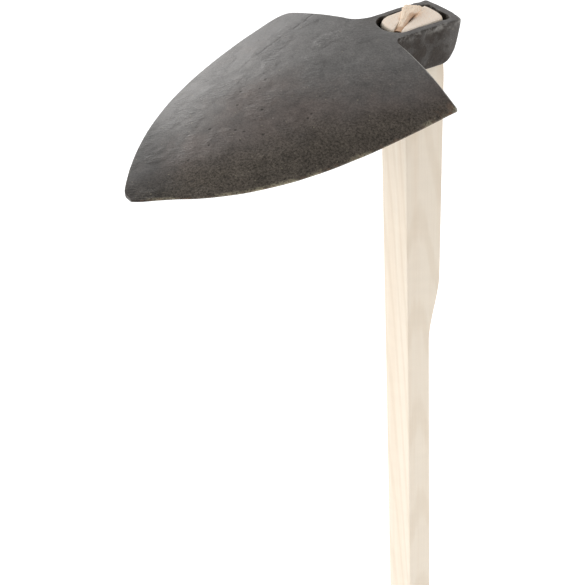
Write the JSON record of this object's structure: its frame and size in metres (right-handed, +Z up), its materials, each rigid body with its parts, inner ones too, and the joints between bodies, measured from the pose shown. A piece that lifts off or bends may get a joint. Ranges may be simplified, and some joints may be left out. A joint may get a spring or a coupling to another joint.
{
  "type": "field hoe",
  "caption": "Forged field hoe: broad arched blade with a blunt point and a rectangular eye, wedged on a long flat-sided wooden handle.",
  "frame": {"origin": "centre of the flat butt face at the foot of the handle", "axes": "+Z up along the handle, -Y from the handle towards the blade's point, +X to the blade's left as seen by someone who holds the handle and looks along the blade"},
  "size_m": [0.2008, 0.2834, 1.2028],
  "materials": {
    "forged_steel": "hammer-forged steel, dark grey satin scale with brown tints and a little rust at the edges",
    "birch": "planed pale birch, unvarnished, fine straight grain",
    "wedge_wood": "split wood with a hammered, torn top"
  },
  "bodies": {
    "root": {"hoe_head": "forged_steel", "handle": "birch", "wedge": "wedge_wood"}
  },
  "joints": []
}
